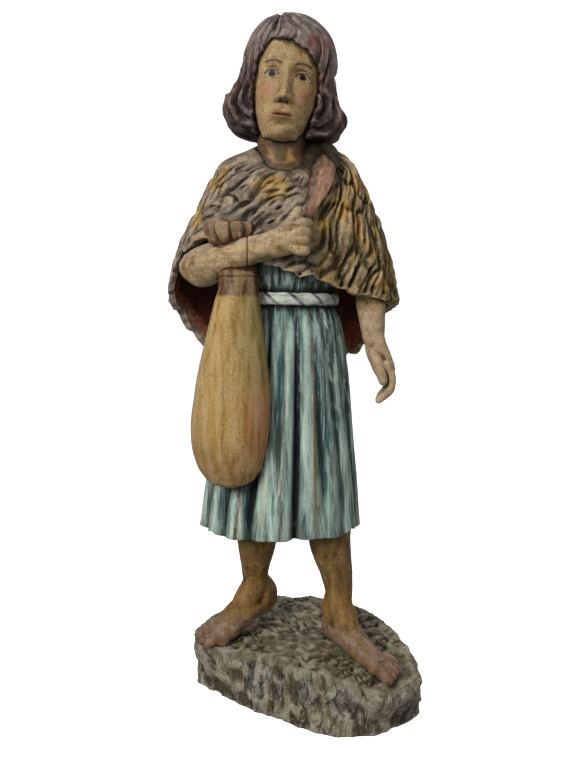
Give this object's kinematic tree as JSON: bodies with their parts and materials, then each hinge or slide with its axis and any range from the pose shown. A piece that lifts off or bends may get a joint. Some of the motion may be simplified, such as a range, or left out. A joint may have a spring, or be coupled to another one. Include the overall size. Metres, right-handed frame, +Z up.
{
  "type": "carved wooden shepherd figure",
  "caption": "Painted wood carving of a barefoot young shepherd in a fur cape and belted tunic, holding a long bag, on a mound of ground",
  "frame": {"origin": "on the flat underside of the mound, near its middle", "axes": "+Z up from the underside to the crown of the head, the figure faces -Y, its left hand is at +X"},
  "size_m": [0.1859, 0.1297, 0.496],
  "materials": {
    "painted_wood": "old matt paint on carved wood"
  },
  "bodies": {
    "root": {"shepherd_figure": "painted_wood"}
  },
  "joints": []
}
